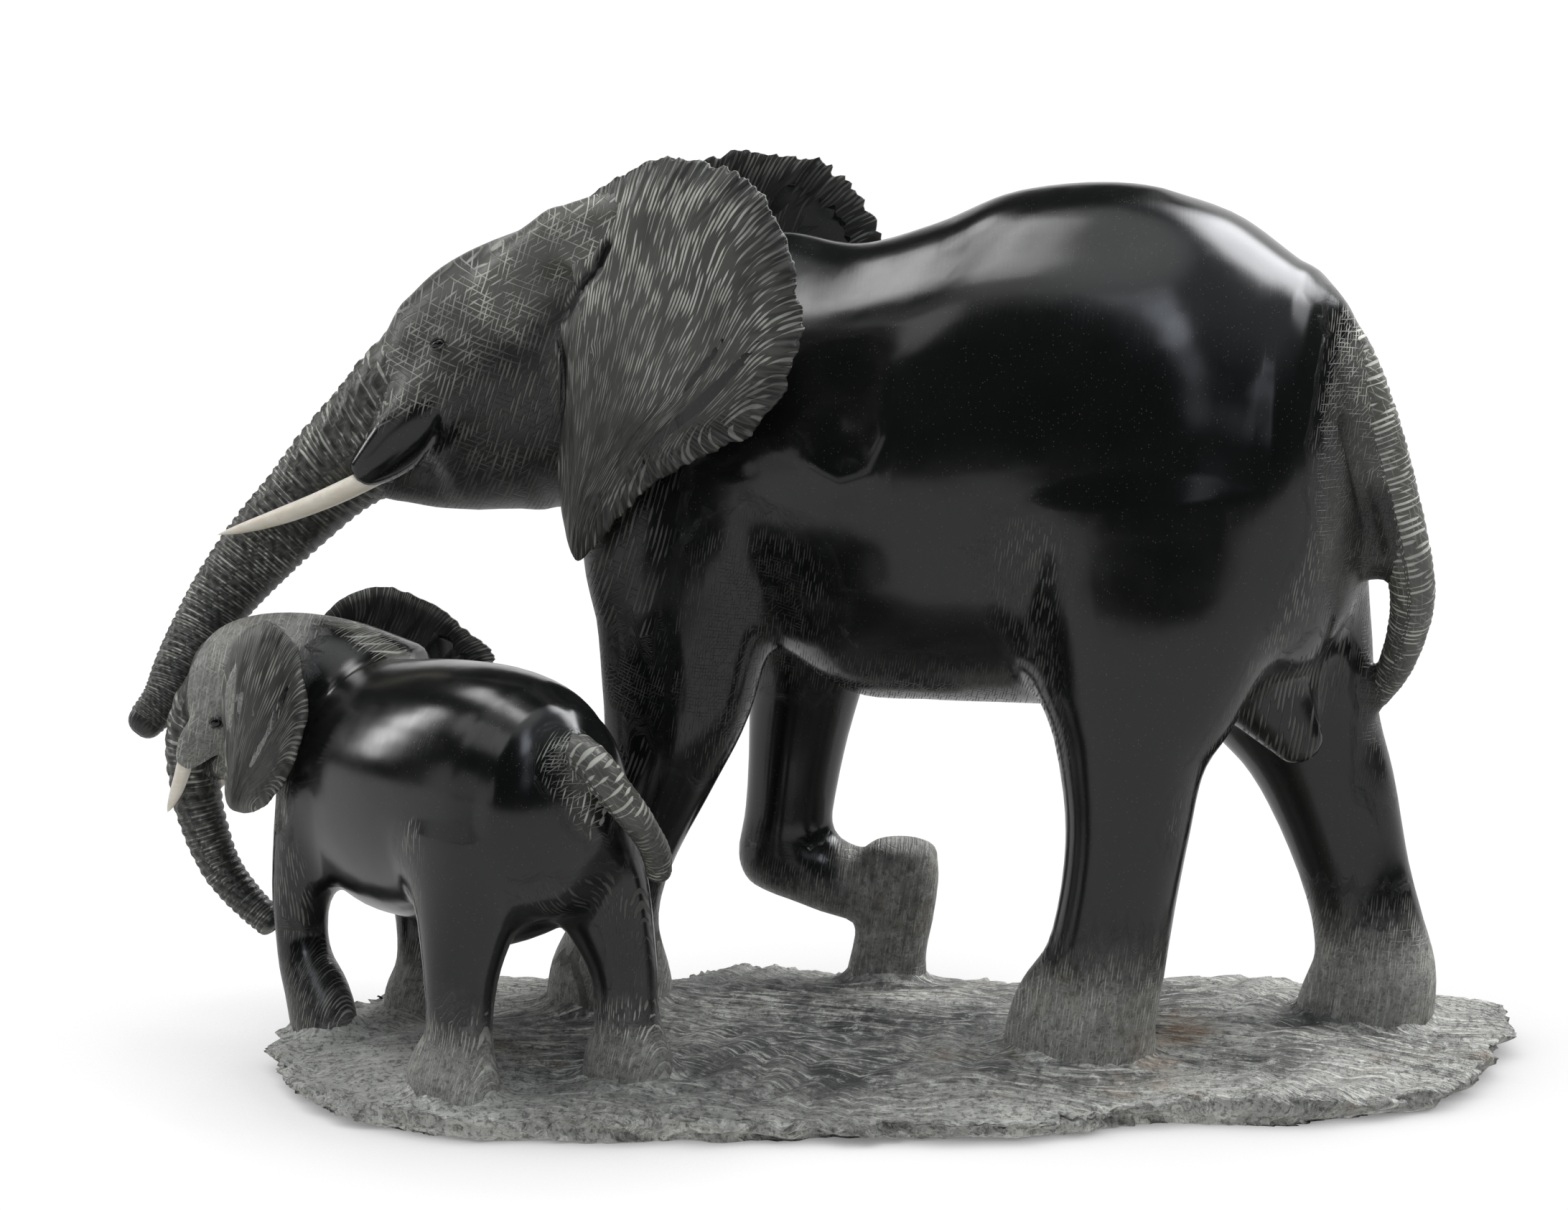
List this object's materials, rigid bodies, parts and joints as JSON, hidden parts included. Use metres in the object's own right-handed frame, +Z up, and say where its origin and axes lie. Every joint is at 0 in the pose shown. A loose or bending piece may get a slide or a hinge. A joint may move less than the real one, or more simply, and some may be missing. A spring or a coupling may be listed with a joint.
{
  "type": "elephant and calf sculpture",
  "caption": "Carved dark stone sculpture of an elephant cow reaching her trunk to her calf, on an uneven stone base, with inset pale tusks.",
  "frame": {"origin": "on the base's flat underside, near its middle, where the base's length and depth are halved", "axes": "+X along the base, towards the cow's tail; the pictured side faces -Y; +Z up"},
  "size_m": [0.7232, 0.3488, 0.4654],
  "materials": {
    "stone": "polished",
    "tusk": "satin"
  },
  "bodies": {
    "root": {"elephant_group": "stone", "cow_tusk_left": "tusk", "cow_tusk_right": "tusk", "calf_tusk_left": "tusk", "calf_tusk_right": "tusk"}
  },
  "joints": []
}
